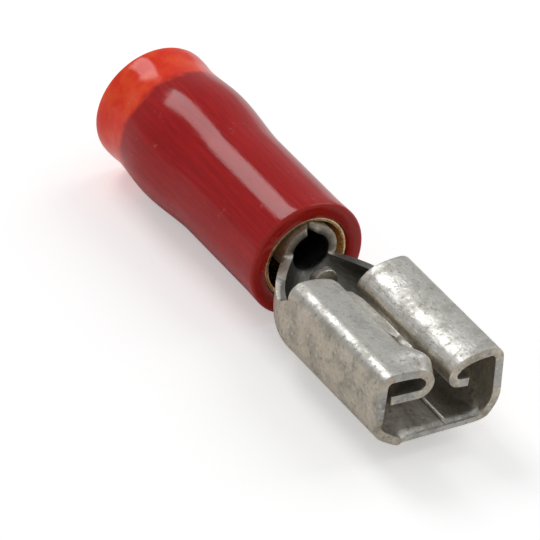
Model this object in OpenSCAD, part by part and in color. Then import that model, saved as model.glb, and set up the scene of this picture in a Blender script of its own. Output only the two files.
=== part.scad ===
// Insulated female spade terminal for a 4.8 mm tab: a stamped and rolled
// receptacle with a butt-seam wire barrel, a support sleeve and a moulded insulator.
// The long axis runs along Y with the mouth at -Y. Z is up and z = 0 is the surface
// that the insulator lies on.

/* [Sheet] */
// Thickness of the stamped sheet
sheet_t = 0.38; // [0.32:0.01:0.44]

/* [Receptacle] */
// Width across the outside of the two walls
box_w = 5.9; // [5.4:0.05:6.6]
// Length of the rolled receptacle, from mouth to rear edge
box_l = 6.95; // [6:0.05:8]
// Centreline radius of the folds between floor and walls
floor_fold_r = 1.16; // [0.8:0.02:1.3]
// Straight height of each wall between its two folds
wall_l = 1.56; // [1.3:0.02:1.9]
// Inward lean of the walls in degrees
wall_lean = 2; // [0:0.5:4]

/* [Rolled wings] */
// Slot between the two rolls at its narrowest
roll_gap = 0.74; // [0.5:0.02:1.1]
// Centreline radius of the fold from wall to crown
shoulder_r = 0.43; // [0.35:0.01:0.6]
// Centreline radius of the shallow crown
crown_r = 3.2; // [2.6:0.1:4]
// Angle through which the crown turns in degrees
crown_a = 16; // [12:1:20]
// Centreline radius of the brow, where the crown turns down
brow_r = 0.9; // [0.7:0.05:1.1]
// Angle through which the brow turns in degrees
brow_a = 24; // [18:1:30]
// Straight length from the brow to the curl
drop_l = 0.2; // [0.1:0.02:0.3]
// Centreline radius of the curl
curl_r = 0.36; // [0.32:0.01:0.42]
// Length of the lip that presses on the tab
lip_l = 1.35; // [1.1:0.05:1.5]
// Downward slope of the lip inside the receptacle in degrees
lip_grip_a = 44; // [36:1:48]
// Downward slope of the lip at the mouth in degrees
lip_mouth_a = 6; // [0:1:14]
// Downward slope of the left lip at the mouth in degrees
lip_left_a = -2; // [-6:1:6]
// Length over which the lips flare open at the mouth
flare_l = 1.7; // [1.2:0.1:2.2]
// Length clipped from the right lip at the mouth
clip_l = 0.9; // [0:0.05:1]
// Height of the swelling on the left brow behind the mouth
swell_h = 0.5; // [0:0.05:0.6]
// Length of the swelling behind the mouth
swell_l = 2.3; // [1.6:0.1:2.8]
// Width of the ledge that stands out beside the left roll
ledge_w = 0.5; // [0.3:0.05:0.6]
// Thickness of the ledge
ledge_t = 0.3; // [0.2:0.02:0.38]
// Distance of the ledge behind the mouth
ledge_y = 2.9; // [2:0.1:4]
// Length of the ledge
ledge_l = 3.5; // [2.4:0.1:3.8]

/* [Mouth and floor] */
// Half width of the coined lead-in on the floor's front edge
coin_half_w = 1.95; // [1.4:0.05:2.2]
// Depth of the coined lead-in
coin_d = 0.14; // [0.08:0.01:0.2]
// Setback of the coined edge behind the folds
coin_setback = 0.1; // [0:0.01:0.2]
// Distance of the score line from the middle of the floor
score_x = 0.55; // [0.3:0.05:0.9]
// Width and depth of the score line
score_w = 0.07; // [0.04:0.01:0.1]
// Length of the score line
score_l = 5.95; // [4:0.05:6.4]

/* [Neck] */
// Length of the neck between receptacle and barrel
neck_l = 2.95; // [2.6:0.05:3.8]
// Height of the neck's wings over the underside of the floor
neck_h = 2.25; // [2:0.05:2.5]
// Height of the wings where they leave the receptacle
neck_root_h = 2.77; // [2.5:0.01:2.9]
// How much lower the right wing is cut than the left
right_wing_drop = 0.4; // [0:0.05:0.5]
// Length over which the wings drop behind the receptacle
neck_drop_l = 0.8; // [0.5:0.05:1.4]
// Width of the lanced stop tongue
stop_w = 1.16; // [0.8:0.02:1.3]
// Height of the stop tongue's tip over the underside of the floor
stop_h = 2.4; // [1.8:0.05:2.6]
// Distance of the stop tongue behind the receptacle
stop_y = 1.85; // [1.4:0.05:2.1]

/* [Wire barrel] */
// Bore of the wire barrel
barrel_bore = 1.7; // [1.6:0.05:2]
// Length of the wire barrel
barrel_l = 5.8; // [5:0.1:7]
// Width of the closed butt seam
seam_w = 0.05; // [0.03:0.01:0.1]
// Width of the seam's open notch at the front of the barrel
seam_notch_w = 0.6; // [0.2:0.02:0.8]
// Length of the seam's open notch
seam_notch_l = 0.4; // [0.2:0.05:1.4]
// Depth of the wire entry chamfer in the barrel
entry_chamfer = 0.14; // [0.08:0.01:0.18]

/* [Insulator] */
// Distance from the mouth to the front of the insulator
insulator_y = 10.06; // [9.9:0.02:10.6]
// Length of the insulator
insulator_l = 12.6; // [11.5:0.1:14]
// Outside radius of the insulator's front body
body_r = 2.6; // [2.5:0.01:2.75]
// Outside radius of the swelling over the end of the support sleeve
bulge_r = 2.84; // [2.8:0.01:3]
// Distance of the swelling behind the insulator's front
bulge_y = 9.1; // [8.6:0.1:9.4]
// Outside radius of the waist behind the swelling
waist_r = 2.69; // [2.6:0.01:2.75]
// Distance of the waist behind the insulator's front
waist_y = 11.4; // [11:0.05:11.6]
// Outside radius of the wire entry rim
rim_r = 2.74; // [2.65:0.01:2.8]
// Radius of the bore that holds the support sleeve
insulator_bore_r = 1.94; // [1.86:0.01:2]
// Radius of the wire entry at the rear face
entry_r = 2.36; // [2.2:0.02:2.44]
// Length of the wire entry funnel
entry_l = 1.6; // [1:0.1:2]
// Rounding of the insulator's front edge
front_round = 0.14; // [0.08:0.01:0.2]
// Height of the lip behind the insulator's front
front_lip = 0.03; // [0:0.01:0.06]
// Length of the lip behind the insulator's front
front_lip_l = 1.2; // [0.6:0.1:2]
// Length over which the front body grows into the swelling
bulge_l = 3.4; // [2:0.1:5]
// Rounding of the insulator's rear edge
rear_round = 0.2; // [0.1:0.01:0.3]

/* [Support sleeve] */
// Wall of the support sleeve
sleeve_wall = 0.2; // [0.15:0.01:0.25]
// Setback of the support sleeve behind the insulator's front
sleeve_setback = 0.12; // [0.05:0.01:0.3]
// Length of the support sleeve
sleeve_l = 10.3; // [9.5:0.1:10.6]
// Widening of the sleeve's belled rear end, on the radius
bell_h = 0.22; // [0.05:0.01:0.26]
// Distance of the bell's start behind the insulator's front
bell_y = 5.8; // [5.7:0.05:6.2]
// Length over which the sleeve widens into the bell
bell_l = 2.2; // [1.4:0.1:2.6]
// Height of the insulator's axis over the underside of the floor
axis_over_floor = 2.02; // [1.95:0.01:2.1]
// Gap where the barrel rests against the top of the support sleeve
seat_gap = 0.01; // [0.01:0.01:0.05]

/* [Hidden] */
$fn = 96;

half_t = sheet_t / 2;
overall_l = insulator_y + insulator_l;
floor_z = bulge_r - axis_over_floor;      // underside of the receptacle's floor
sleeve_bore_r = insulator_bore_r - sleeve_wall;
barrel_r = barrel_bore / 2 + sheet_t;
barrel_mid_r = barrel_bore / 2 + half_t;
barrel_axis_z = axis_over_floor + sleeve_bore_r - barrel_r - seat_gap;
barrel_y = box_l + neck_l;
neck_end_h = barrel_axis_z + 0.1;         // wing height where the neck meets the barrel
embed = 0.12;                             // how far joined stretches of sheet run into each other
embed_t = 0.97;                           // thickness of the buried stretch, as a share of the sheet
over = 1;                                 // how far cutters run past what they cut
fold_steps = 7;
neck_steps = 9;
wing_steps = 3;
swell_out = 0.25;                         // how far the swelling leans into the slot, as a share of its height
swell_peak_y = 0.3 * swell_l;
swell_front_share = 0.2;                  // share of the swelling left at the mouth

function ease(u) = u <= 0 ? 0 : u >= 1 ? 1 : u * u * (3 - 2 * u);

// A run of sheet is a list of [x, z, heading] stations on its centreline.
function straight(s, l) = [s[0] + l * cos(s[2]), s[1] + l * sin(s[2]), s[2]];
function turned(s, r, a) = [
    s[0] + r * (sin(s[2] + a) - sin(s[2])),
    s[1] - r * (cos(s[2] + a) - cos(s[2])),
    s[2] + a
];
function fold(s, r, a, steps) = [for (i = [1:steps]) turned(s, r, a * i / steps)];
function last(list) = list[len(list) - 1];

// Floor, lower fold and wall of the right half.
floor_half = box_w / 2 - half_t - floor_fold_r;
floor_start = [0, half_t, 0];
floor_end = straight(floor_start, floor_half);
wall_start = turned(floor_end, floor_fold_r, 90 + wall_lean);
wall_end = straight(wall_start, wall_l);
crown_start = turned(wall_end, shoulder_r, 90);

// The straight part of the crown is as long as the slot between the rolls allows.
bare_brow = turned(turned(crown_start, crown_r, crown_a), brow_r, brow_a);
bare_curl = straight(bare_brow, drop_l);
curl_centre_x = bare_curl[0] - curl_r * sin(bare_curl[2]);
crown_run = (curl_centre_x - curl_r - half_t - roll_gap / 2) / cos(wall_lean);
crown_arc_start = straight(crown_start, crown_run);
brow_start = turned(crown_arc_start, crown_r, crown_a);
drop_start = turned(brow_start, brow_r, brow_a);
curl_start = straight(drop_start, drop_l);

// The ledge lies level with the foot of the drop and stands out into the slot.
ledge_z = curl_start[1] - ledge_t;
ledge_root_x = -roll_gap / 2 - half_t;
ledge_edge_x = -roll_gap / 2 + 0.8 * ledge_w;
ledge_end_y = ledge_y + ledge_l;

// Centreline of one wing at distance y behind the mouth, from mid floor to lip.
function mouth_share(y) = 1 - ease(y / flare_l);
function lip_slope(y, mouth_a) = lip_grip_a + (mouth_a - lip_grip_a) * mouth_share(y);
function wing(y, clip, mouth_a) =
    let (curl_a = 360 - lip_slope(y, mouth_a) - curl_start[2])
    let (curl = fold(curl_start, curl_r, curl_a, 10))
    let (free_l = lip_l - clip * mouth_share(y))
    concat(
        [floor_start, straight(floor_start, floor_half / 2), floor_end],
        fold(floor_end, floor_fold_r, 90 + wall_lean, fold_steps),
        [wall_end],
        fold(wall_end, shoulder_r, 90, 5),
        [crown_arc_start],
        fold(crown_arc_start, crown_r, crown_a, 4),
        fold(brow_start, brow_r, brow_a, 3),
        [curl_start],
        curl,
        [straight(last(curl), free_l / 2), straight(last(curl), free_l)]
    );

// The swelling lifts the crown, brow and curl just behind the mouth.
function swell_share(y) =
    let (rise = ease(y / swell_peak_y))
    let (fall = ease((y - swell_peak_y) / (swell_l - swell_peak_y)))
    (swell_front_share + (1 - swell_front_share) * rise) * (1 - fall);
function near_brow(s) =
    let (rise = ease((s[2] - crown_arc_start[2]) / (drop_start[2] - crown_arc_start[2])))
    let (fall = ease((s[2] - drop_start[2]) / (360 - drop_start[2])))
    rise * (1 - fall);
function swollen(path, h) = [for (s = path)
    let (lift = h * near_brow(s))
    [s[0] - swell_out * lift, s[1] + lift, s[2]]];

// The two faces of the sheet along a centreline, offset square to it.
function along(p, i) =
    let (a = p[max(i - 1, 0)], b = p[min(i + 1, len(p) - 1)])
    let (d = [b[0] - a[0], b[1] - a[1]])
    d / norm(d);
function face_point(p, i, h) =
    let (d = along(p, i))
    [p[i][0] - d[1] * h, p[i][1] + d[0] * h];

// Whole centreline from the left wing's edge, through mid floor, to the right wing's edge.
function strip(right, left) = concat(
    [for (i = [len(left) - 1:-1:1]) [-left[i][0], left[i][1]]],
    [for (s = right) [s[0], s[1]]]
);

// Sheet of thickness 2 h over a list of centrelines, each at its own distance behind the mouth.
module sheet(ys, strips, h) {
    k = len(strips[0]);
    m = len(strips) - 1;
    points = [for (j = [0:m]) for (side = [-h, h]) for (i = [0:k - 1])
        let (pt = face_point(strips[j], i, side))
        [pt[0], ys[j], pt[1]]];
    // index of point i on the outer (0) or inner (1) face at station j
    function at(j, side, i) = (2 * j + side) * k + i;
    outer = [for (j = [0:m - 1]) for (i = [0:k - 2])
        [at(j, 0, i), at(j, 0, i + 1), at(j + 1, 0, i + 1), at(j + 1, 0, i)]];
    inner = [for (j = [0:m - 1]) for (i = [0:k - 2])
        [at(j, 1, i + 1), at(j, 1, i), at(j + 1, 1, i), at(j + 1, 1, i + 1)]];
    left_edge = [for (j = [0:m - 1]) [at(j, 1, 0), at(j, 0, 0), at(j + 1, 0, 0), at(j + 1, 1, 0)]];
    right_edge = [for (j = [0:m - 1])
        [at(j, 0, k - 1), at(j, 1, k - 1), at(j + 1, 1, k - 1), at(j + 1, 0, k - 1)]];
    front = [for (i = [0:k - 2]) [at(0, 0, i + 1), at(0, 0, i), at(0, 1, i), at(0, 1, i + 1)]];
    back = [for (i = [0:k - 2]) [at(m, 0, i), at(m, 0, i + 1), at(m, 1, i + 1), at(m, 1, i)]];
    polyhedron(points, concat(outer, inner, left_edge, right_edge, front, back), convexity = 8);
}

// Rolled receptacle: floor, two walls and two curled wings.
receptacle_ys = [0, 0.25, 0.55, 0.9, 1.3, 1.75, 2.3, box_l];
module receptacle() {
    strips = [for (y = receptacle_ys)
        strip(wing(y, clip_l, lip_mouth_a), swollen(wing(y, 0, lip_left_a), swell_h * swell_share(y)))];
    sheet(receptacle_ys, strips, half_t);
}

// Ledge of sheared sheet in the slot, fixed to the inner side of the left roll.
module ledge() {
    translate([0, 0, ledge_z])
        linear_extrude(ledge_t)
            polygon([
                [ledge_root_x, ledge_y + ledge_w],
                [ledge_edge_x - ledge_w / 2, ledge_y],
                [ledge_edge_x, ledge_y + 2 * ledge_w],
                [ledge_edge_x, ledge_end_y - 2 * ledge_w],
                [ledge_edge_x - ledge_w / 2, ledge_end_y],
                [ledge_root_x, ledge_end_y]
            ]);
}

// Neck: an open channel that narrows and rises from the receptacle to the barrel.
function channel(top_z) =
    let (rise = (top_z - wall_start[1]) / sin(wall_start[2]))
    concat(
        [floor_start, straight(floor_start, floor_half / 2), floor_end],
        fold(floor_end, floor_fold_r, 90 + wall_lean, fold_steps),
        [for (i = [1:wing_steps]) straight(wall_start, rise * i / wing_steps)]
    );
function run_lengths(p, i = 1, sum = [0]) =
    i >= len(p) ? sum
    : run_lengths(p, i + 1, concat(sum, [last(sum) + norm([p[i][0] - p[i - 1][0], p[i][1] - p[i - 1][1]])]));
function cradle(p, end_z) =
    let (l = run_lengths(p))
    let (sweep = 90 + asin((end_z - barrel_axis_z) / barrel_mid_r))
    [for (v = l)
        let (a = -90 + sweep * v / last(l))
        [barrel_mid_r * cos(a), barrel_axis_z + barrel_mid_r * sin(a), a + 90]];
function neck_wing(y, drop) =
    let (u = max(0, min(1, (y - box_l) / neck_l)))
    let (low_z = neck_h - drop)
    let (top_z = low_z + (neck_root_h - low_z) * (1 - ease((y - box_l) / neck_drop_l)))
    let (a = channel(top_z))
    let (b = cradle(a, neck_end_h - drop))
    let (f = u * u)
    [for (i = [0:len(a) - 1]) a[i] * (1 - f) + b[i] * f];
neck_ys = concat(
    [box_l - embed],
    [for (i = [0:neck_steps]) box_l + neck_l * i / neck_steps],
    [barrel_y + embed]
);
module neck() {
    strips = [for (y = neck_ys) strip(neck_wing(y, right_wing_drop), neck_wing(y, 0))];
    sheet(neck_ys, strips, half_t * embed_t);
}

// Stop tongue lanced out of the neck's floor and bent upright.
module stop_tongue() {
    tip_r = stop_w / 2;
    stop_foot_z = half_t + (barrel_axis_z - barrel_mid_r - half_t) * pow(stop_y / neck_l, 2);
    translate([0, box_l + stop_y + half_t, 0])
        rotate([90, 0, 0])
            linear_extrude(sheet_t) {
                translate([0, stop_h - tip_r])
                    circle(tip_r);
                translate([-tip_r, stop_foot_z])
                    square([stop_w, stop_h - tip_r - stop_foot_z]);
            }
}

// Wire barrel: a rolled tube with a butt seam on top that opens into a notch in front.
module barrel() {
    translate([0, barrel_y, barrel_axis_z])
        rotate([-90, 0, 0])
            difference() {
                cylinder(h = barrel_l, r = barrel_r);
                translate([0, 0, -over])
                    cylinder(h = barrel_l + 2 * over, d = barrel_bore);
                translate([0, 0, barrel_l - entry_chamfer])
                    cylinder(h = entry_chamfer, d1 = barrel_bore, d2 = barrel_bore + 2 * entry_chamfer);
                translate([-seam_w / 2, -barrel_r - over, -over])
                    cube([seam_w, barrel_r + over, barrel_l + 2 * over]);
                rotate([90, 0, 0])
                    linear_extrude(barrel_r + over)
                        polygon([
                            [-seam_notch_w / 2, 0],
                            [-seam_notch_w / 2, -over],
                            [seam_notch_w / 2, -over],
                            [seam_notch_w / 2, 0],
                            [0, seam_notch_l]
                        ]);
            }
}

// Coined lead-in along the floor's front edge.
module coined_edge() {
    translate([coin_half_w, 0, 0])
        rotate([0, -90, 0])
            linear_extrude(2 * coin_half_w)
                polygon([
                    [-over, -over],
                    [sheet_t + over, -over],
                    [sheet_t + over, coin_setback + 2 * coin_d],
                    [sheet_t, coin_setback + 2 * coin_d],
                    [sheet_t - coin_d, coin_setback],
                    [-over, coin_setback]
                ]);
}

// Score line along the floor.
module score_line() {
    translate([score_x - score_w / 2, coin_setback + coin_d, sheet_t - score_w])
        cube([score_w, score_l, score_w + over]);
}

module terminal() {
    color("silver")
        in_frame()
            difference() {
                union() {
                    receptacle();
                    ledge();
                    neck();
                    stop_tongue();
                    barrel();
                }
                coined_edge();
                score_line();
            }
}

// Outside of the insulator as [radius, distance behind its front].
function between(r1, r2, y1, y2, steps) = [for (i = [1:steps])
    [r1 + (r2 - r1) * ease(i / steps), y1 + (y2 - y1) * i / steps]];
function quarter(r, y, size, a0) = [for (i = [0:5]) [r + size * cos(a0 + 18 * i), y + size * sin(a0 + 18 * i)]];
insulator_outside = concat(
    quarter(body_r + front_lip - front_round, front_round, front_round, -90),
    between(body_r + front_lip, body_r, front_round, front_lip_l, 4),
    between(body_r, bulge_r, bulge_y - bulge_l, bulge_y, 10),
    between(bulge_r, waist_r, bulge_y, waist_y, 8),
    between(waist_r, rim_r, waist_y, insulator_l - 2 * rear_round, 3),
    quarter(rim_r - rear_round, insulator_l - rear_round, rear_round, 0)
);

// The bell of the support sleeve, and of the bore round it, for a bore that is r in front.
function bell(r) = concat([[r, bell_y]], between(r, r + bell_h, bell_y, bell_y + bell_l, 6));
function reversed(list) = [for (i = [len(list) - 1:-1:0]) list[i]];

// Moulded insulator: body, swelling, waist and funnel-mouthed wire entry.
module insulator() {
    color([0.75, 0.1, 0.08])
        in_frame()
            translate([0, insulator_y, axis_over_floor])
                rotate([-90, 0, 0])
                    rotate_extrude()
                        polygon(concat(
                            [[insulator_bore_r, 0]],
                            insulator_outside,
                            [[entry_r, insulator_l], [insulator_bore_r + bell_h, insulator_l - entry_l]],
                            reversed(bell(insulator_bore_r))
                        ));
}

// Drawn tube between the insulator and the wire barrel, belled for the wire's insulation.
module support_sleeve() {
    color([0.8, 0.62, 0.3])
        in_frame()
            translate([0, insulator_y, axis_over_floor])
                rotate([-90, 0, 0])
                    rotate_extrude()
                        polygon(concat(
                            [[insulator_bore_r, sleeve_setback]],
                            bell(insulator_bore_r),
                            [
                                [insulator_bore_r + bell_h, sleeve_setback + sleeve_l],
                                [sleeve_bore_r + bell_h, sleeve_setback + sleeve_l]
                            ],
                            reversed(bell(sleeve_bore_r)),
                            [[sleeve_bore_r, sleeve_setback]]
                        ));
}

// The mouth and the floor's underside placed in the part's frame.
module in_frame() {
    translate([0, -overall_l / 2, floor_z])
        children();
}

insulator();
support_sleeve();
terminal();
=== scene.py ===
import math

import bmesh
import bpy
from mathutils import Matrix, Vector


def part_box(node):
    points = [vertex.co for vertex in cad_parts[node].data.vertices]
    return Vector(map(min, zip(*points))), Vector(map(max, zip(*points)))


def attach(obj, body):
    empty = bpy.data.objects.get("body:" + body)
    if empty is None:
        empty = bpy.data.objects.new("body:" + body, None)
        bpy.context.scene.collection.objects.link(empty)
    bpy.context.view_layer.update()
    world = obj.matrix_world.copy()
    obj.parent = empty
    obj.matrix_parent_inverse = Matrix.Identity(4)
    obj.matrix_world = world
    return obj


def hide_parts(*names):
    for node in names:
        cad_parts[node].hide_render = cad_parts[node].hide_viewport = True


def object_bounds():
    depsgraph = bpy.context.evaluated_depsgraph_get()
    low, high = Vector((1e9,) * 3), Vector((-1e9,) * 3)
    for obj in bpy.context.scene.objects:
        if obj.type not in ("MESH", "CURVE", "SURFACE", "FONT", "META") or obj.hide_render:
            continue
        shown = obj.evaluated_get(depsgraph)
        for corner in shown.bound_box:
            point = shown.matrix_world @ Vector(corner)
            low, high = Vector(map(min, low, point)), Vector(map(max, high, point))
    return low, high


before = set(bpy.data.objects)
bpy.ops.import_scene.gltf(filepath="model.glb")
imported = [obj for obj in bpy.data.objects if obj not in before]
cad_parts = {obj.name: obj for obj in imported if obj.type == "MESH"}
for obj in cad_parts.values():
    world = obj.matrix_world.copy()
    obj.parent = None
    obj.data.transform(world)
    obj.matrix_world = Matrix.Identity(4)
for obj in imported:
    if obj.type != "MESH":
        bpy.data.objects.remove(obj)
cad_box = [list(corner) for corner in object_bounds()]
MM = 0.001
scene = bpy.context.scene
scene.view_settings.view_transform = "Standard"

# ---------------------------------------------------------------- camera
# A long lens, above and to the left of the tab mouth. It looks along the
# terminal, a little rolled, and its middle lies beside the left roll.
mouth_y = Vector(cad_box[0]).y
CAMERA_AZ, CAMERA_EL, CAMERA_ROLL = math.radians(-35.273), math.radians(34.395), math.radians(6.711)
CAMERA_DISTANCE, CAMERA_LENS = 250 * MM, 414.5
SIGHT_Y, SIGHT_Z = 8.0 * MM, 2.32 * MM
AIM_LEFT, AIM_UP = 2.521 * MM, 1.098 * MM
towards_camera = Vector((
    math.sin(CAMERA_AZ) * math.cos(CAMERA_EL),
    -math.cos(CAMERA_AZ) * math.cos(CAMERA_EL),
    math.sin(CAMERA_EL),
))
level_right = Vector((math.cos(CAMERA_AZ), math.sin(CAMERA_AZ), 0))
level_up = towards_camera.cross(level_right)
view_right = math.cos(CAMERA_ROLL) * level_right + math.sin(CAMERA_ROLL) * level_up
view_up = towards_camera.cross(view_right)
sight = Vector((0, mouth_y + SIGHT_Y, SIGHT_Z))
eye = sight + CAMERA_DISTANCE * towards_camera
aim = sight - AIM_LEFT * view_right + AIM_UP * view_up
back = (eye - aim).normalized()
right = (view_right - view_right.dot(back) * back).normalized()
camera_data = bpy.data.cameras.new("camera")
camera_data.sensor_width = 36
camera_data.lens = CAMERA_LENS
camera_data.clip_start = 0.01
camera = bpy.data.objects.new("camera", camera_data)
turned = Matrix((right, back.cross(right), back)).transposed().to_4x4()
camera.matrix_world = Matrix.Translation(eye) @ turned
scene.collection.objects.link(camera)
scene.camera = camera

# ---------------------------------------------------------------- studio
# White paper under the part, a white surround, and soft boxes above and
# beside it. Seen straight, the paper and the surround are plain white.
SURROUND_LIGHT, PAPER_GREY, PAPER_GLOW = 0.42, 0.9, 0.4
PAPER_HALF = 1.2


def new_material(name):
    material = bpy.data.materials.new(name)
    material.use_nodes = True
    tree = material.node_tree
    tree.nodes.clear()
    return material, tree


def lamp(name, towards, distance, size, power, target=(0, 0, 2.5 * MM)):
    data = bpy.data.lights.new(name, "AREA")
    data.shape = "RECTANGLE"
    data.size, data.size_y = size
    data.energy = power
    obj = bpy.data.objects.new(name, data)
    direction = Vector(towards).normalized()
    obj.location = Vector(target) + direction * distance
    obj.rotation_euler = direction.to_track_quat("Z", "Y").to_euler()
    scene.collection.objects.link(obj)


world = bpy.data.worlds.new("surround")
world.use_nodes = True
scene.world = world
nodes, links = world.node_tree.nodes, world.node_tree.links
nodes.clear()
path = nodes.new("ShaderNodeLightPath")
surround = nodes.new("ShaderNodeBackground")
surround.inputs["Color"].default_value = (1, 1, 1, 1)
surround.inputs["Strength"].default_value = SURROUND_LIGHT
plain = nodes.new("ShaderNodeBackground")
plain.inputs["Color"].default_value = (1, 1, 1, 1)
choose = nodes.new("ShaderNodeMixShader")
out = nodes.new("ShaderNodeOutputWorld")
links.new(path.outputs["Is Camera Ray"], choose.inputs["Fac"])
links.new(surround.outputs[0], choose.inputs[1])
links.new(plain.outputs[0], choose.inputs[2])
links.new(choose.outputs[0], out.inputs["Surface"])

paper_mesh = bpy.data.meshes.new("paper")
corners = [(-1, -1), (1, -1), (1, 1), (-1, 1)]
paper_mesh.from_pydata([(x * PAPER_HALF, y * PAPER_HALF, 0) for x, y in corners], [], [(0, 1, 2, 3)])
paper = bpy.data.objects.new("paper", paper_mesh)
scene.collection.objects.link(paper)
material, tree = new_material("paper")
path = tree.nodes.new("ShaderNodeLightPath")
sheet = tree.nodes.new("ShaderNodeBsdfDiffuse")
sheet.inputs["Color"].default_value = (PAPER_GREY, PAPER_GREY, PAPER_GREY, 1)
glow = tree.nodes.new("ShaderNodeEmission")
glow.inputs["Color"].default_value = (1, 1, 1, 1)
glow.inputs["Strength"].default_value = PAPER_GLOW
none = tree.nodes.new("ShaderNodeEmission")
none.inputs["Strength"].default_value = 0.0
seen = tree.nodes.new("ShaderNodeMixShader")
both = tree.nodes.new("ShaderNodeAddShader")
out = tree.nodes.new("ShaderNodeOutputMaterial")
tree.links.new(path.outputs["Is Camera Ray"], seen.inputs["Fac"])
tree.links.new(none.outputs[0], seen.inputs[1])
tree.links.new(glow.outputs[0], seen.inputs[2])
tree.links.new(sheet.outputs[0], both.inputs[0])
tree.links.new(seen.outputs[0], both.inputs[1])
tree.links.new(both.outputs[0], out.inputs["Surface"])
paper_mesh.materials.append(material)

lamp("key_box", (-0.10, 0.64, 0.76), 0.3, (0.12, 0.12), 0.21)
lamp("side_box", (0.9, 0.1, 0.9), 0.35, (0.25, 0.25), 0.25)

# ---------------------------------------------------------------- insulator
# Injection-moulded nylon tube that slips over the barrel: a straight body, a
# swelling over the sleeve's bell, a waist and a rounded rim round the wire entry.


def ease(u):
    u = min(max(u, 0.0), 1.0)
    return u * u * (3 - 2 * u)


def eased(r1, r2, y1, y2, steps):
    return [(r1 + (r2 - r1) * ease(i / steps), y1 + (y2 - y1) * i / steps) for i in range(1, steps + 1)]


def rounded(r, y, size, start, steps=6):
    turn = [math.radians(start + 90 * i / steps) for i in range(steps + 1)]
    return [(r + size * math.cos(a), y + size * math.sin(a)) for a in turn]


def wiring(tree):
    """Short ways to add a maths node, a map range and a colour mix to a node tree."""

    def put(socket, value):
        if value is None:
            return
        if hasattr(value, "is_output"):
            tree.links.new(value, socket)
        else:
            socket.default_value = value

    def maths(operation, a, b=None):
        node = tree.nodes.new("ShaderNodeMath")
        node.operation = operation
        put(node.inputs[0], a)
        put(node.inputs[1], b)
        return node.outputs[0]

    def ramp(value, low, high, to_low=0.0, to_high=1.0):
        node = tree.nodes.new("ShaderNodeMapRange")
        node.interpolation_type = "SMOOTHSTEP"
        put(node.inputs["Value"], value)
        put(node.inputs["From Min"], low)
        put(node.inputs["From Max"], high)
        put(node.inputs["To Min"], to_low)
        put(node.inputs["To Max"], to_high)
        return node.outputs["Result"]

    def mix(share, a, b):
        node = tree.nodes.new("ShaderNodeMix")
        node.data_type = "RGBA"
        colour_a, colour_b = node.inputs[6], node.inputs[7]
        put(node.inputs["Factor"], share)
        put(colour_a, a)
        put(colour_b, b)
        return node.outputs[2]

    return maths, ramp, mix


def turned_tree():
    """Turns a closed profile of (radius, distance) points about the Y axis."""
    tree = bpy.data.node_groups.new("turned_shell", "GeometryNodeTree")
    face = tree.interface
    face.new_socket("Geometry", in_out="INPUT", socket_type="NodeSocketGeometry")
    face.new_socket("Sides", in_out="INPUT", socket_type="NodeSocketInt")
    face.new_socket("Axis Height", in_out="INPUT", socket_type="NodeSocketFloat")
    face.new_socket("Material", in_out="INPUT", socket_type="NodeSocketMaterial")
    face.new_socket("Geometry", in_out="OUTPUT", socket_type="NodeSocketGeometry")
    n, wire = tree.nodes, tree.links.new
    maths, _, _ = wiring(tree)
    given = n.new("NodeGroupInput")
    size = n.new("GeometryNodeAttributeDomainSize")
    wire(given.outputs["Geometry"], size.inputs["Geometry"])
    rows, sides = size.outputs["Point Count"], given.outputs["Sides"]
    grid = n.new("GeometryNodeMeshGrid")
    wire(rows, grid.inputs["Size X"])
    wire(sides, grid.inputs["Size Y"])
    wire(maths("ADD", rows, 1), grid.inputs["Vertices X"])
    wire(maths("ADD", sides, 1), grid.inputs["Vertices Y"])
    place = n.new("GeometryNodeInputPosition")
    split = n.new("ShaderNodeSeparateXYZ")
    wire(place.outputs[0], split.inputs[0])
    row = maths("ROUND", maths("ADD", split.outputs["X"], maths("DIVIDE", rows, 2)))
    row = maths("MODULO", row, rows)
    column = maths("ADD", split.outputs["Y"], maths("DIVIDE", sides, 2))
    angle = maths("MULTIPLY", maths("DIVIDE", column, sides), math.tau)
    sample = n.new("GeometryNodeSampleIndex")
    sample.data_type = "FLOAT_VECTOR"
    wire(given.outputs["Geometry"], sample.inputs["Geometry"])
    wire(place.outputs[0], sample.inputs["Value"])
    wire(row, sample.inputs["Index"])
    point = n.new("ShaderNodeSeparateXYZ")
    wire(sample.outputs["Value"], point.inputs[0])
    swept = n.new("ShaderNodeCombineXYZ")
    wire(maths("MULTIPLY", point.outputs["X"], maths("SINE", angle)), swept.inputs["X"])
    wire(point.outputs["Y"], swept.inputs["Y"])
    above_axis = maths("MULTIPLY", point.outputs["X"], maths("COSINE", angle))
    wire(maths("ADD", above_axis, given.outputs["Axis Height"]), swept.inputs["Z"])
    move = n.new("GeometryNodeSetPosition")
    wire(grid.outputs["Mesh"], move.inputs["Geometry"])
    wire(swept.outputs[0], move.inputs["Position"])
    merge = n.new("GeometryNodeMergeByDistance")
    merge.inputs["Distance"].default_value = 0.001 * MM
    wire(move.outputs[0], merge.inputs["Geometry"])
    smooth = n.new("GeometryNodeSetShadeSmooth")
    wire(merge.outputs[0], smooth.inputs["Geometry"])
    real = n.new("GeometryNodeRealizeInstances")
    wire(smooth.outputs[0], real.inputs[0])
    paint = n.new("GeometryNodeSetMaterial")
    wire(real.outputs[0], paint.inputs["Geometry"])
    wire(given.outputs["Material"], paint.inputs["Material"])
    result = n.new("NodeGroupOutput")
    wire(paint.outputs[0], result.inputs["Geometry"])
    return tree


turned_shell = turned_tree()


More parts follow.
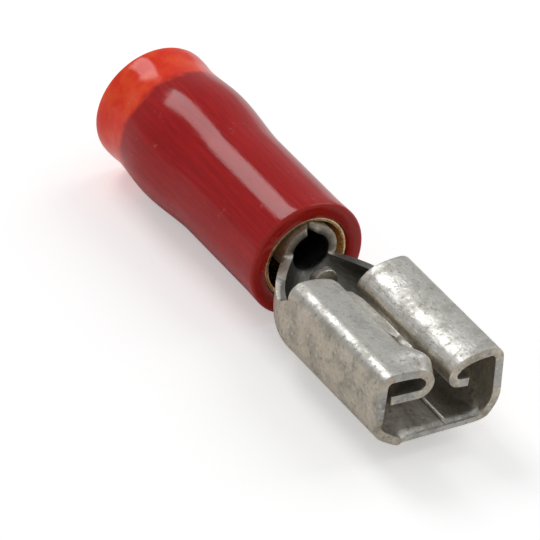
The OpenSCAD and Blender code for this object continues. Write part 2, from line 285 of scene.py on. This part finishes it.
def turned_piece(name, profile, front_y, axis_z, sides, material):
    """Closed profile points (radius, distance behind front_y), both in mm, turned about the axis."""
    outline = bpy.data.meshes.new(name + "_outline")
    outline.from_pydata([(r * MM, front_y + y * MM, 0) for r, y in profile], [], [])
    obj = bpy.data.objects.new(name, outline)
    scene.collection.objects.link(obj)
    modifier = obj.modifiers.new("turned", "NODES")
    modifier.node_group = turned_shell
    sizes = {"Sides": sides, "Axis Height": axis_z, "Material": material}
    for item in turned_shell.interface.items_tree:
        if item.in_out == "INPUT" and item.name in sizes:
            modifier[item.identifier] = sizes[item.name]
    bpy.context.view_layer.update()
    solid = bpy.data.meshes.new_from_object(obj.evaluated_get(bpy.context.evaluated_depsgraph_get()))
    obj.modifiers.clear()
    obj.data = solid
    solid.name = name
    return obj


insulator_low, insulator_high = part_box("insulator")
insulator_front = insulator_low.y
AXIS_Z = 2.84 * MM
SIDES = 128
FRONT_R, BODY_R, BULGE_R, WAIST_R, RIM_R = 2.63, 2.6, 2.839, 2.69, 2.74
FRONT_L, BULGE_Y, BULGE_L, WAIST_Y = 1.2, 9.1, 3.4, 11.4
INSULATOR_L = (insulator_high.y - insulator_low.y) / MM
BORE_R, ENTRY_R, ENTRY_L = 1.95, 2.36, 1.6
BELL_Y, BELL_L, BELL_H, BELL_STEPS = 5.8, 2.2, 0.22, 8
FRONT_ROUND, REAR_ROUND, INNER_ROUND = 0.14, 0.2, 0.06
outside = (
    rounded(FRONT_R - FRONT_ROUND, FRONT_ROUND, FRONT_ROUND, -90)
    + eased(FRONT_R, BODY_R, FRONT_ROUND, FRONT_L, 4)
    + eased(BODY_R, BULGE_R, BULGE_Y - BULGE_L, BULGE_Y, 14)
    + eased(BULGE_R, WAIST_R, BULGE_Y, WAIST_Y, 12)
    + eased(WAIST_R, RIM_R, WAIST_Y, INSULATOR_L - 2 * REAR_ROUND, 4)
    + rounded(RIM_R - REAR_ROUND, INSULATOR_L - REAR_ROUND, REAR_ROUND, 0)
)
bell_steps = [1 - i / BELL_STEPS for i in range(1, BELL_STEPS + 1)]
inside = (
    [(ENTRY_R + INNER_ROUND, INSULATOR_L), (ENTRY_R, INSULATOR_L - INNER_ROUND)]
    + [(BORE_R + BELL_H, INSULATOR_L - ENTRY_L), (BORE_R + BELL_H, BELL_Y + BELL_L)]
    + [(BORE_R + BELL_H * ease(share), BELL_Y + BELL_L * share) for share in bell_steps]
    + [(BORE_R, INNER_ROUND), (BORE_R + INNER_ROUND, 0)]
)


def streak_group():
    """Noise drawn out along the part, blotches and fine specks, in mm of Object space."""
    group = bpy.data.node_groups.new("drawn_marks", "ShaderNodeTree")
    for name, start in (("Across", 6.0), ("Along", 0.6), ("Blotch", 1.5), ("Fine", 12.0)):
        group.interface.new_socket(name, in_out="INPUT", socket_type="NodeSocketFloat").default_value = start
    for name in ("Streaks", "Blotches", "Specks"):
        group.interface.new_socket(name, in_out="OUTPUT", socket_type="NodeSocketFloat")
    n, wire = group.nodes, group.links.new
    given, result = n.new("NodeGroupInput"), n.new("NodeGroupOutput")
    place = n.new("ShaderNodeTexCoord")
    in_mm = n.new("ShaderNodeVectorMath")
    in_mm.operation = "SCALE"
    in_mm.inputs["Scale"].default_value = 1 / MM
    wire(place.outputs["Object"], in_mm.inputs[0])
    drawn = n.new("ShaderNodeCombineXYZ")
    for axis, name in (("X", "Across"), ("Y", "Along"), ("Z", "Across")):
        wire(given.outputs[name], drawn.inputs[axis])
    stretched = n.new("ShaderNodeVectorMath")
    stretched.operation = "MULTIPLY"
    wire(in_mm.outputs[0], stretched.inputs[0])
    wire(drawn.outputs[0], stretched.inputs[1])
    kinds = (("Streaks", stretched, None, 3), ("Blotches", in_mm, "Blotch", 5), ("Specks", in_mm, "Fine", 4))
    for name, vector, scale, detail in kinds:
        noise = n.new("ShaderNodeTexNoise")
        noise.inputs["Detail"].default_value = detail
        noise.inputs["Roughness"].default_value = 0.6
        noise.inputs["Scale"].default_value = 1
        wire(vector.outputs[0], noise.inputs["Vector"])
        if scale:
            wire(given.outputs[scale], noise.inputs["Scale"])
        wire(noise.outputs["Fac"], result.inputs[name])
    return group


drawn_marks = streak_group()


def marks(tree, across, along, blotch, fine):
    node = tree.nodes.new("ShaderNodeGroup")
    node.node_tree = drawn_marks
    for name, value in (("Across", across), ("Along", along), ("Blotch", blotch), ("Fine", fine)):
        node.inputs[name].default_value = value
    return [node.outputs[name] for name in ("Streaks", "Blotches", "Specks")]


def surfaced(tree, colour, roughness, height, strength, depth):
    """A shader with its bump, wired to the material's output."""
    shader = tree.nodes.new("ShaderNodeBsdfPrincipled")
    bump = tree.nodes.new("ShaderNodeBump")
    out = tree.nodes.new("ShaderNodeOutputMaterial")
    bump.inputs["Strength"].default_value = strength
    bump.inputs["Distance"].default_value = depth
    tree.links.new(colour, shader.inputs["Base Color"])
    tree.links.new(roughness, shader.inputs["Roughness"])
    tree.links.new(height, bump.inputs["Height"])
    tree.links.new(bump.outputs[0], shader.inputs["Normal"])
    tree.links.new(shader.outputs[0], out.inputs["Surface"])
    return shader


# Deep red over the metal sleeve, and a bright orange red behind it, where light
# comes through the tube. Fine drawn streaks, pale scuffs and a glossy skin.
DEEP_RED, FRESH_RED, FRONT_RED = (0.38, 0.003, 0.005, 1), (0.50, 0.006, 0.008, 1), (0.46, 0.03, 0.018, 1)
LIT_RED, LIT_ORANGE, SCUFF_PINK = (0.92, 0.030, 0.006, 1), (1.0, 0.085, 0.018, 1), (0.62, 0.20, 0.17, 1)
nylon, tree = new_material("red_nylon")
maths, ramp, mix = wiring(tree)
streaks, blotches, specks = marks(tree, 7.0, 0.35, 0.9, 9.0)
place = tree.nodes.new("ShaderNodeTexCoord")
axes = tree.nodes.new("ShaderNodeSeparateXYZ")
tree.links.new(place.outputs["Object"], axes.inputs[0])
wander = maths("MULTIPLY", maths("SUBTRACT", blotches, 0.5), 0.9 * MM)
behind = maths("ADD", axes.outputs["Y"], wander)
LIT_FROM, LIT_TO = 10.15, 10.65
lit_through = ramp(behind, insulator_front + LIT_FROM * MM, insulator_front + LIT_TO * MM)
near_front = ramp(axes.outputs["Y"], insulator_front + 0.35 * MM, insulator_front + 0.05 * MM)
red = mix(ramp(streaks, 0.3, 0.7), DEEP_RED, FRESH_RED)
red = mix(maths("MULTIPLY", near_front, 0.5), red, FRONT_RED)
orange = mix(ramp(blotches, 0.35, 0.65), LIT_RED, LIT_ORANGE)
red = mix(lit_through, red, orange)
scuffed = maths("MULTIPLY", ramp(blotches, 0.60, 0.72), ramp(specks, 0.45, 0.6))
red = mix(maths("MULTIPLY", scuffed, 0.35), red, SCUFF_PINK)
rough = maths("ADD", ramp(streaks, 0.3, 0.7, 0.08, 0.16), maths("MULTIPLY", scuffed, 0.3))
grain = maths("ADD", maths("MULTIPLY", streaks, 0.7), maths("MULTIPLY", specks, 0.3))
shader = surfaced(tree, red, rough, grain, 0.25, 0.02 * MM)
shader.inputs["Specular IOR Level"].default_value = 0.32
insulator = turned_piece("nylon_insulator", outside + inside, insulator_front, AXIS_Z, SIDES, nylon)
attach(insulator, "root")
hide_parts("insulator")

# ---------------------------------------------------------------- support sleeve
# Thin brass tube drawn from sheet, pressed inside the nylon. It backs the barrel
# and is belled behind it to take the wire's own insulation.
SLEEVE_R, SLEEVE_WALL, SLEEVE_Y, SLEEVE_L, SLEEVE_EDGE = 1.94, 0.2, 0.12, 10.3, 0.04
DARK_BRASS, BRIGHT_BRASS, STREAK_BRASS = (0.62, 0.36, 0.17, 1), (0.86, 0.64, 0.36, 1), (0.40, 0.22, 0.10, 1)


def bell(r):
    return [(r, BELL_Y)] + eased(r, r + BELL_H, BELL_Y, BELL_Y + BELL_L, BELL_STEPS)


inner = SLEEVE_R - SLEEVE_WALL
sleeve_profile = (
    [(inner + SLEEVE_EDGE, SLEEVE_Y), (SLEEVE_R - SLEEVE_EDGE, SLEEVE_Y), (SLEEVE_R, SLEEVE_Y + SLEEVE_EDGE)]
    + bell(SLEEVE_R)
    + [(SLEEVE_R + BELL_H, SLEEVE_Y + SLEEVE_L), (inner + BELL_H, SLEEVE_Y + SLEEVE_L)]
    + bell(inner)[::-1]
    + [(inner, SLEEVE_Y + SLEEVE_EDGE)]
)
brass, tree = new_material("drawn_brass")
maths, ramp, mix = wiring(tree)
streaks, blotches, specks = marks(tree, 9.0, 0.5, 2.0, 14.0)
tone = mix(ramp(blotches, 0.35, 0.65), DARK_BRASS, BRIGHT_BRASS)
tone = mix(ramp(streaks, 0.5, 0.75, 0.0, 0.5), tone, STREAK_BRASS)
rough = ramp(specks, 0.3, 0.7, 0.14, 0.34)
grain = maths("ADD", streaks, maths("MULTIPLY", specks, 0.4))
shader = surfaced(tree, tone, rough, grain, 0.4, 0.03 * MM)
shader.inputs["Metallic"].default_value = 1
sleeve = turned_piece("brass_sleeve", sleeve_profile, insulator_front, AXIS_Z, SIDES, brass)
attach(sleeve, "root")
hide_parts("support_sleeve")

# ---------------------------------------------------------------- terminal
# One blank of tin-plated sheet 0.38 mm thick: stamped, folded up at both sides,
# curled into two wings, drawn in to a neck and rolled into a butt-seam barrel.
SHEET = 0.38
HALF_SHEET = SHEET / 2
FLOOR_Z = 0.82
BOX_W, BOX_L = 5.9, 6.95
FLOOR_FOLD_R, WALL_L, WALL_LEAN = 1.16, 1.56, math.radians(2)
ROLL_GAP, SHOULDER_R, CROWN_R, CROWN_A = 0.74, 0.43, 3.2, math.radians(16)
BROW_R, BROW_A, DROP_L, CURL_R = 0.9, math.radians(24), 0.2, 0.36
LIP_L, LIP_GRIP, FLARE_L, CLIP_L = 1.35, math.radians(44), 1.7, 0.9
LIP_RIGHT, LIP_LEFT = math.radians(6), math.radians(-2)
NECK_L, NECK_H, NECK_ROOT_H, NECK_DROP_L, RIGHT_DROP = 2.95, 2.25, 2.77, 0.8, 0.4
BARREL_BORE, BARREL_L, BARREL_Z, SEAM_GAP = 1.7, 5.8, 2.52, 0.05
BARREL_MID_R = BARREL_BORE / 2 + HALF_SHEET
BARREL_Y = BOX_L + NECK_L
WING_RISE = 0.1  # how far the neck's wing ends over the barrel's axis


class Run:
    """Centreline of the sheet seen from the mouth, drawn by straights and folds."""

    def __init__(self, x, z, heading):
        self.points = [(x, z)]
        self.x, self.z, self.heading = x, z, heading

    def straight(self, length, steps=1):
        x, z = self.x, self.z
        for i in range(1, steps + 1):
            self.x = x + length * i / steps * math.cos(self.heading)
            self.z = z + length * i / steps * math.sin(self.heading)
            self.points.append((self.x, self.z))
        return self

    def fold(self, radius, angle, steps):
        x, z, start = self.x, self.z, self.heading
        for i in range(1, steps + 1):
            self.heading = start + angle * i / steps
            self.x = x + radius * (math.sin(self.heading) - math.sin(start))
            self.z = z - radius * (math.cos(self.heading) - math.cos(start))
            self.points.append((self.x, self.z))
        return self


FLOOR_HALF = BOX_W / 2 - HALF_SHEET - FLOOR_FOLD_R
FOLD_STEPS, RISE_STEPS = 14, 14
SCORE_X, SCORE_W, SCORE_D, SCORE_FROM, SCORE_TO = 0.55, 0.07, 0.07, 0.2, 6.2


def floor_marks():
    """Distances from mid floor of the grid's columns, close together at the score line."""
    plain = [0.1 * i for i in range(16) if abs(0.1 * i - SCORE_X) > 0.9 * SCORE_W]
    scored = [SCORE_X + SCORE_W * t for t in (-0.5, -0.4, 0, 0.4, 0.5)]
    return sorted(plain + scored + [FLOOR_HALF])


def lower_run(top_z):
    """Floor, lower fold and the wall up to top_z: the stretch that runs on into the neck."""
    run = Run(FLOOR_HALF, HALF_SHEET, 0)
    run.points = [(x, HALF_SHEET) for x in floor_marks()]
    run.fold(FLOOR_FOLD_R, math.pi / 2 + WALL_LEAN, FOLD_STEPS)
    return run.straight((top_z - run.z) / math.sin(run.heading), RISE_STEPS)


WALL_STEPS, SHOULDER_STEPS, TOP_STEPS = 2, 9, 7
CROWN_STEPS, BROW_STEPS, DROP_STEPS, CURL_STEPS, LIP_STEPS = 8, 5, 2, 22, 12
SWELL_H, SWELL_L, SWELL_OUT = 0.45, 2.3, 0.5
SWELL_FRONT, SWELL_PEAK = 0.2, 0.3


def upper_run(y, clip, mouth_slope, swell):
    """Rest of the wall, shoulder, crown, brow, curl and lip of a wing at distance y."""
    mouth = 1 - ease(y / FLARE_L)
    run = lower_run(NECK_ROOT_H)
    wall_top = HALF_SHEET + FLOOR_FOLD_R * (1 + math.sin(WALL_LEAN)) + WALL_L * math.cos(WALL_LEAN)
    run.points = run.points[-1:]
    run.straight((wall_top - run.z) / math.sin(run.heading), WALL_STEPS)
    run.fold(SHOULDER_R, math.pi / 2, SHOULDER_STEPS)
    bare = Run(run.x, run.z, run.heading)
    bare.fold(CROWN_R, CROWN_A, 1).fold(BROW_R, BROW_A, 1).straight(DROP_L)
    curl_x = bare.x - CURL_R * math.sin(bare.heading)
    run.straight((curl_x - CURL_R - HALF_SHEET - ROLL_GAP / 2) / math.cos(WALL_LEAN), TOP_STEPS)
    crown = len(run.points)
    brow = crown + CROWN_STEPS + BROW_STEPS
    run.fold(CROWN_R, CROWN_A, CROWN_STEPS).fold(BROW_R, BROW_A, BROW_STEPS).straight(DROP_L, DROP_STEPS)
    slope = LIP_GRIP + (mouth_slope - LIP_GRIP) * mouth
    run.fold(CURL_R, math.tau - slope - run.heading, CURL_STEPS)
    run.straight(LIP_L - clip * mouth, LIP_STEPS)
    # The swelling grows over crown and brow and dies away round the curl.
    points = []
    for i, (x, z) in enumerate(run.points):
        rise = ease((i - crown) / (brow - crown))
        fall = ease((i - brow - DROP_STEPS) / CURL_STEPS)
        lift = swell * rise * (1 - fall)
        points.append((x - SWELL_OUT * lift, z + lift))
    return points


def swelling(y):
    peak = SWELL_PEAK * SWELL_L
    grown = SWELL_FRONT + (1 - SWELL_FRONT) * ease(y / peak)
    return SWELL_H * grown * (1 - ease((y - peak) / (SWELL_L - peak)))


def neck_run(y, drop):
    """The channel of the neck closes towards the barrel and rises to its height."""
    u = min(max((y - BOX_L) / NECK_L, 0), 1)
    low = NECK_H - drop
    channel = lower_run(low + (NECK_ROOT_H - low) * (1 - ease((y - BOX_L) / NECK_DROP_L))).points
    lengths = [0]
    for a, b in zip(channel, channel[1:]):
        lengths.append(lengths[-1] + math.dist(a, b))
    sweep = math.pi / 2 + math.asin((WING_RISE - drop) / BARREL_MID_R)
    points = []
    for (x, z), run in zip(channel, lengths):
        a = -math.pi / 2 + sweep * run / lengths[-1]
        cx, cz = BARREL_MID_R * math.cos(a), BARREL_Z + BARREL_MID_R * math.sin(a)
        points.append((x + (cx - x) * u * u, z + (cz - z) * u * u))
    return points


SEAM_A = math.asin(SEAM_GAP / 2 / BARREL_MID_R)
ROLL_STEPS = 26


def rolled_run(drop):
    """Upper half of the barrel, from the top of the neck's wing to the seam."""
    start, end = math.asin((WING_RISE - drop) / BARREL_MID_R), math.pi / 2 - SEAM_A
    angles = [start + (end - start) * i / ROLL_STEPS for i in range(ROLL_STEPS + 1)]
    return [(BARREL_MID_R * math.cos(a), BARREL_Z + BARREL_MID_R * math.sin(a)) for a in angles]


def spaced(start, end, step):
    count = max(1, round((end - start) / step))
    return [start + (end - start) * i / count for i in range(count + 1)]


def add_grid(mesh, rows):
    """Quads over rows of (x, y, z) points in mm, x counted from the middle of the part."""
    grid = [[mesh.verts.new(p) for p in row] for row in rows]
    for a, b in zip(grid, grid[1:]):
        for i in range(len(a) - 1):
            mesh.faces.new((a[i], a[i + 1], b[i + 1], b[i]))


# Where each stretch of the blank starts and ends. The floor's front edge is set back
# between the folds, the left fold's is dressed off, and the right fold's foot is pressed flat.
# The rows stand closer at the mouth and at the barrel's front edge.
COIN_FROM, COIN_TO, COIN_SIDE, COIN_SETBACK, COIN_D, COIN_L = -1.64, 2.4, 0.12, 0.1, 0.14, 0.28
DRESS_L, FOLD_X, FOLD_W, FOLD_Z, FOLD_H, FOLD_SETBACK = 0.6, -1.7, 0.5, 1.35, 0.6, 0.24
FOOT_FROM, FOOT_RISE_W, FOOT_TO, FOOT_FALL_W, FOOT_L, FOOT_FLAT = 1.5, 0.3, 2.5, 0.25, 0.7, 0.85
NOTCH_W, NOTCH_L = 0.3, 0.4
front_rows = [0, 0.1, 0.2, 0.3, 0.4, 0.52] + spaced(0.66, BOX_L - 0.1, 0.16) + [BOX_L]
neck_rows = [BOX_L + d for d in spaced(0, NECK_L, 0.13)]
barrel_steps = [0, 0.1, 0.22, 0.36] + spaced(0.5, BARREL_L - 0.1, 0.34) + [BARREL_L]
barrel_rows = [BARREL_Y + d for d in barrel_steps]


def dressed(x, z, y):
    """A point of the receptacle's lower half, moved where the mouth's edge was coined."""
    front = 1 - ease(y / DRESS_L)
    coined = ease((x - COIN_FROM) / COIN_SIDE) * ease((COIN_TO - x) / COIN_SIDE) * (1 if z < 1 else 0)
    fold = ease((FOLD_X - x) / FOLD_W) * ease((FOLD_Z - z) / FOLD_H)
    foot = ease((FOOT_TO - x) / FOOT_FALL_W) * ease((x - FOOT_FROM) / FOOT_RISE_W) * (1 - ease(y / FOOT_L))
    setback = (COIN_SETBACK * coined + FOLD_SETBACK * fold) * front
    return (x, y + setback, z - (z - HALF_SHEET) * FOOT_FLAT * foot)


def notched(i, y):
    """Rows of the barrel's upper half start later near the seam."""
    arc = (ROLL_STEPS - i) / ROLL_STEPS * (math.pi / 2) * BARREL_MID_R
    start = NOTCH_L * max(0, 1 - arc / NOTCH_W)
    t = (y - BARREL_Y) / BARREL_L
    return BARREL_Y + start + (BARREL_L - start) * t


blank = bmesh.new()
for side, drop in ((-1, 0), (1, RIGHT_DROP)):
    rows = []
    for y in front_rows:
        rows.append([dressed(side * x, z, y) for x, z in lower_run(NECK_ROOT_H).points])
    for y in neck_rows[1:] + barrel_rows[1:]:
        rows.append([(side * x, y, z) for x, z in neck_run(y, drop)])
    add_grid(blank, rows)
    rows = []
    for y in front_rows:
        wing = upper_run(y, 0, LIP_LEFT, swelling(y)) if side < 0 else upper_run(y, CLIP_L, LIP_RIGHT, 0)
        rows.append([(side * x, y, z) for x, z in wing])
    add_grid(blank, rows)
    rows = []
    for y in barrel_rows:
        rolled = enumerate(rolled_run(drop))
        rows.append([(side * x, notched(i, y) if i else y, z) for i, (x, z) in rolled])
    add_grid(blank, rows)
bmesh.ops.remove_doubles(blank, verts=blank.verts, dist=1e-4)
bmesh.ops.recalc_face_normals(blank, faces=blank.faces)


FLOOR_ONLY_Z = 0.3  # below this height the centre surface is the floor's alone


def thickened(mesh, half):
    """A shell of the sheet's thickness over its centre surface, and its sheared edges."""
    mesh.normal_update()
    mesh.verts.index_update()
    middles = ((f, f.calc_center_median()) for f in mesh.faces)
    bottom = next(f for f, middle in middles if abs(middle.x) < 0.2 and middle.z < FLOOR_ONLY_Z)
    turn = -1 if bottom.normal.z > 0 else 1
    shell = bmesh.new()
    outer = [shell.verts.new(v.co + v.normal * turn * half) for v in mesh.verts]
    inner = []
    for v in mesh.verts:
        x, y, z = v.co
        deep = 0
        if z < FLOOR_ONLY_Z and COIN_FROM < x < COIN_TO:
            deep = COIN_D * max(0, 1 - (y - COIN_SETBACK) / COIN_L)
        if abs(x - SCORE_X) < 0.45 * SCORE_W and SCORE_FROM < y < SCORE_TO and z < FLOOR_ONLY_Z:
            deep = max(deep, SCORE_D)
        inner.append(shell.verts.new(v.co - v.normal * turn * (half - deep)))
    for f in mesh.faces:
        ids = [v.index for v in f.verts]
        if turn < 0:
            ids = ids[::-1]
        shell.faces.new([outer[i] for i in ids])
        shell.faces.new([inner[i] for i in reversed(ids)])
    sheared = []
    for e in mesh.edges:
        if len(e.link_faces) == 1:
            ids = [v.index for v in e.link_faces[0].verts]
            a, b = e.verts[0].index, e.verts[1].index
            if ids[(ids.index(a) + 1) % len(ids)] != b:
                a, b = b, a
            if turn < 0:
                a, b = b, a
            f = shell.faces.new((outer[b], outer[a], inner[a], inner[b]))
            long_sides = ({outer[a], outer[b]}, {inner[a], inner[b]})
            sheared += [side for side in f.edges if set(side.verts) in long_sides]
    return shell, sheared


def eased_edges(mesh, edges, size, segments, profile):
    bmesh.ops.bevel(mesh, geom=list(dict.fromkeys(edges)), offset=size, segments=segments, profile=profile,
                    affect="EDGES", clamp_overlap=True)


SHEARED_EASE, SLAB_EASE = 0.045, 0.06
shell, sheared = thickened(blank, HALF_SHEET)
blank.free()
eased_edges(shell, sheared, SHEARED_EASE, 2, 0.5)


def slab(mesh, outline, depth, place):
    """A closed plate over an outline, with its long edges eased."""
    ends = [[mesh.verts.new(place(a, b, d)) for a, b in outline] for d in (0, depth)]
    faces = [mesh.faces.new(ends[0]), mesh.faces.new(ends[1][::-1])]
    for i in range(len(outline)):
        j = (i + 1) % len(outline)
        mesh.faces.new((ends[0][j], ends[0][i], ends[1][i], ends[1][j]))
    eased_edges(mesh, [e for f in faces for e in f.edges], SLAB_EASE, 3, 0.6)


# The stop tongue is lanced out of the neck's floor and bent upright. The ledge is
# a strip of sheared sheet that stands out of the left roll into the slot.
STOP_W, STOP_H, STOP_Y, STOP_ROOT_Z = 1.16, 2.4, 1.85, 0.55
STOP_R = STOP_W / 2
tip = [math.radians(10 * i) for i in range(19)]
tongue = [(STOP_R * math.cos(a), STOP_H - STOP_R + STOP_R * math.sin(a)) for a in tip]
tongue += [(-STOP_R, STOP_ROOT_Z), (STOP_R, STOP_ROOT_Z)]
slab(shell, tongue, SHEET, lambda a, b, d: (a, BOX_L + STOP_Y - HALF_SHEET + d, b))
LEDGE_W, LEDGE_T, LEDGE_Y, LEDGE_L, LEDGE_LIFT, LEDGE_SLOPE = 0.5, 0.3, 2.9, 3.5, 0.12, 0.35
LEDGE_END = LEDGE_Y + LEDGE_L
brow_end = WALL_STEPS + SHOULDER_STEPS + TOP_STEPS + CROWN_STEPS + BROW_STEPS + DROP_STEPS
ledge_top = upper_run(BOX_L, 0, LIP_LEFT, 0)[brow_end][1]
root, edge = -ROLL_GAP / 2 - HALF_SHEET, -ROLL_GAP / 2 + 0.8 * LEDGE_W
ledge = [(root, LEDGE_Y + LEDGE_W), (edge - LEDGE_W / 2, LEDGE_Y)]
ledge += [(edge - 0.06, LEDGE_Y + LEDGE_W), (edge, LEDGE_Y + 2)]
ledge += [(edge - 0.05, LEDGE_END - LEDGE_W), (edge - 0.25, LEDGE_END), (root, LEDGE_END)]
ledge_foot = ledge_top - LEDGE_T + LEDGE_LIFT
slab(shell, ledge, LEDGE_T, lambda a, b, d: (a, b, ledge_foot + d + LEDGE_SLOPE * (root - a)))

# The shell keeps within the width of the stamped box, and moves to its place.
for v in shell.verts:
    x = max(-BOX_W / 2, min(BOX_W / 2, v.co.x))
    v.co = Vector((x, max(v.co.y, 0) + mouth_y / MM, max(v.co.z, 0) + FLOOR_Z)) * MM
bmesh.ops.recalc_face_normals(shell, faces=shell.faces)
terminal_mesh = bpy.data.meshes.new("tin_terminal")
shell.to_mesh(terminal_mesh)
shell.free()
terminal_mesh.shade_smooth()
tin, tree = new_material("tin_plate")
maths, ramp, mix = wiring(tree)
streaks, blotches, specks = marks(tree, 5.0, 0.8, 1.3, 5.5)
place = tree.nodes.new("ShaderNodeTexCoord")
axes = tree.nodes.new("ShaderNodeSeparateXYZ")
tree.links.new(place.outputs["Object"], axes.inputs[0])
facing = tree.nodes.new("ShaderNodeSeparateXYZ")
tree.links.new(place.outputs["Normal"], facing.inputs[0])
# Painted reflection: cool grey on faces turned up and warm on the walls, set by which way each face turns;
# with dull spots and bright worn specks.
WARM_REFLECTED_TIN, COOL_REFLECTED_TIN, DULL_TIN = (0.68, 0.61, 0.50, 1), (0.66, 0.65, 0.61, 1), (0.34, 0.32, 0.28, 1)
SPOT_TIN, WORN_TIN = (0.20, 0.185, 0.16, 1), (0.84, 0.82, 0.76, 1)
# Painted shade colours for the insides of the neck and the barrel.
NECK_SHADE, BARREL_SHADE = (0.085, 0.09, 0.085, 1), (0.02, 0.02, 0.02, 1)
# Painted reflection mask: faces turned up take the cool tint, the walls the warm one.
top = ramp(facing.outputs["Z"], 0.2, 0.85)
plate = mix(top, WARM_REFLECTED_TIN, COOL_REFLECTED_TIN)
plate = mix(ramp(blotches, 0.42, 0.66, 0.0, 0.55), plate, DULL_TIN)
plate = mix(ramp(specks, 0.56, 0.70, 0.0, 0.6), plate, SPOT_TIN)
plate = mix(ramp(specks, 0.42, 0.32, 0.0, 0.6), plate, WORN_TIN)
# Painted shade: inside the neck and the barrel, faces turned towards the axis are darkened nearly black.
axis_up = maths("SUBTRACT", axes.outputs["Z"], (FLOOR_Z + BARREL_Z) * MM)
across = maths("MULTIPLY", axes.outputs["X"], facing.outputs["X"])
outward = maths("ADD", across, maths("MULTIPLY", axis_up, facing.outputs["Z"]))
inner_face = ramp(outward, 0.0, -0.25 * MM)
in_neck = ramp(axes.outputs["Y"], mouth_y + (BOX_L - 0.6) * MM, mouth_y + (BOX_L + 1.6) * MM)
painted_inner_shade = maths("MULTIPLY", inner_face, in_neck)
in_barrel = ramp(axes.outputs["Y"], mouth_y + (BARREL_Y - 0.3) * MM, mouth_y + (BARREL_Y + 1.2) * MM)
# Painted shade laid on the inner faces, darkest in the barrel.
plate = mix(maths("MULTIPLY", painted_inner_shade, 0.8), plate, NECK_SHADE)
plate = mix(maths("MULTIPLY", painted_inner_shade, in_barrel), plate, BARREL_SHADE)
worn = maths("ADD", maths("MULTIPLY", blotches, 0.6), maths("MULTIPLY", specks, 0.4))
rough = ramp(worn, 0.35, 0.62, 0.34, 0.56)
grain = maths("ADD", maths("MULTIPLY", specks, 0.6), maths("MULTIPLY", streaks, 0.5))
shader = surfaced(tree, plate, rough, grain, 0.55, 0.05 * MM)
shader.inputs["Metallic"].default_value = 1
terminal_mesh.materials.append(tin)
terminal = bpy.data.objects.new("tin_terminal", terminal_mesh)
scene.collection.objects.link(terminal)
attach(terminal, "root")
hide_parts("terminal")
